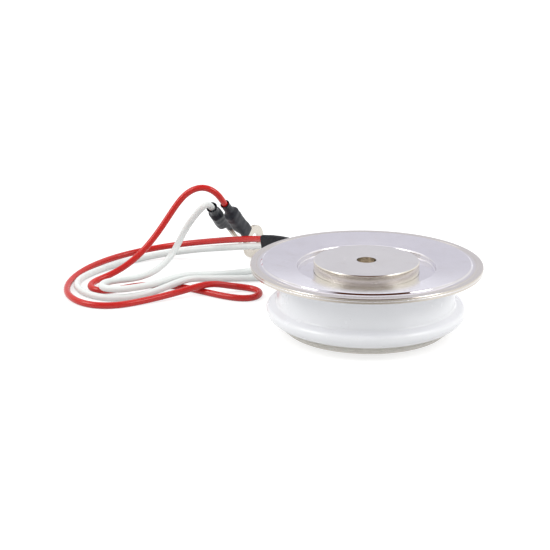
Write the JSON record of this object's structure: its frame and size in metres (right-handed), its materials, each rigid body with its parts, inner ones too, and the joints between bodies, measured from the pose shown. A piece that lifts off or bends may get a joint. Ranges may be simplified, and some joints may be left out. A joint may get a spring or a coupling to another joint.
{
  "type": "press-pack thyristor",
  "caption": "Round ceramic press-pack thyristor capsule with metal contact faces, a wide welded rim, and gate and auxiliary cathode leads ending in ring terminals.",
  "frame": {"origin": "on the capsule's axis, in the plane of the lower (anode) contact face", "axes": "+Z along the capsule's axis from the anode face to the cathode face; the leads leave the neck at 122 degrees from +X, between -X and +Y"},
  "size_m": [0.0795, 0.0784, 0.019],
  "materials": {
    "glazed_ceramic": "smooth white glaze",
    "nickel_plate": "bright nickel plate, fine turning marks",
    "silver": "soft silver",
    "molybdenum": "lapped grey metal",
    "silicon": "polished",
    "insulator": "moulded, ivory",
    "spring_steel": "drawn wire",
    "black_sleeve": "shrunk sleeve, slight sheen",
    "white_insulation": "smooth extruded insulation",
    "red_insulation": "smooth extruded insulation",
    "tinned_terminal": "bright tin plate"
  },
  "bodies": {
    "root": {"ceramic_housing": "glazed_ceramic", "anode_flange": "nickel_plate", "anode_pole_piece": "nickel_plate", "weld_ring": "nickel_plate", "cathode_flange": "nickel_plate", "cathode_pole_piece": "nickel_plate", "silver_shim": "silver", "anode_moly_disc": "molybdenum", "silicon_wafer": "silicon", "edge_passivation_ring": "insulator", "cathode_moly_disc": "molybdenum", "centering_ring": "insulator", "gate_plunger": "silver", "gate_insulator": "insulator", "gate_spring": "spring_steel", "gate_cap": "insulator", "gate_wire_inner": "silver", "gate_wire_liner": "insulator", "gate_tube": "nickel_plate", "gate_tube_ferrule": "nickel_plate", "aux_cathode_tab": "nickel_plate", "lead_exit_sleeve": "black_sleeve", "gate_lead": "white_insulation", "cathode_lead": "red_insulation", "gate_ring_terminal": "tinned_terminal", "cathode_ring_terminal": "tinned_terminal", "gate_terminal_sleeve": "black_sleeve", "cathode_terminal_sleeve": "black_sleeve"}
  },
  "joints": []
}
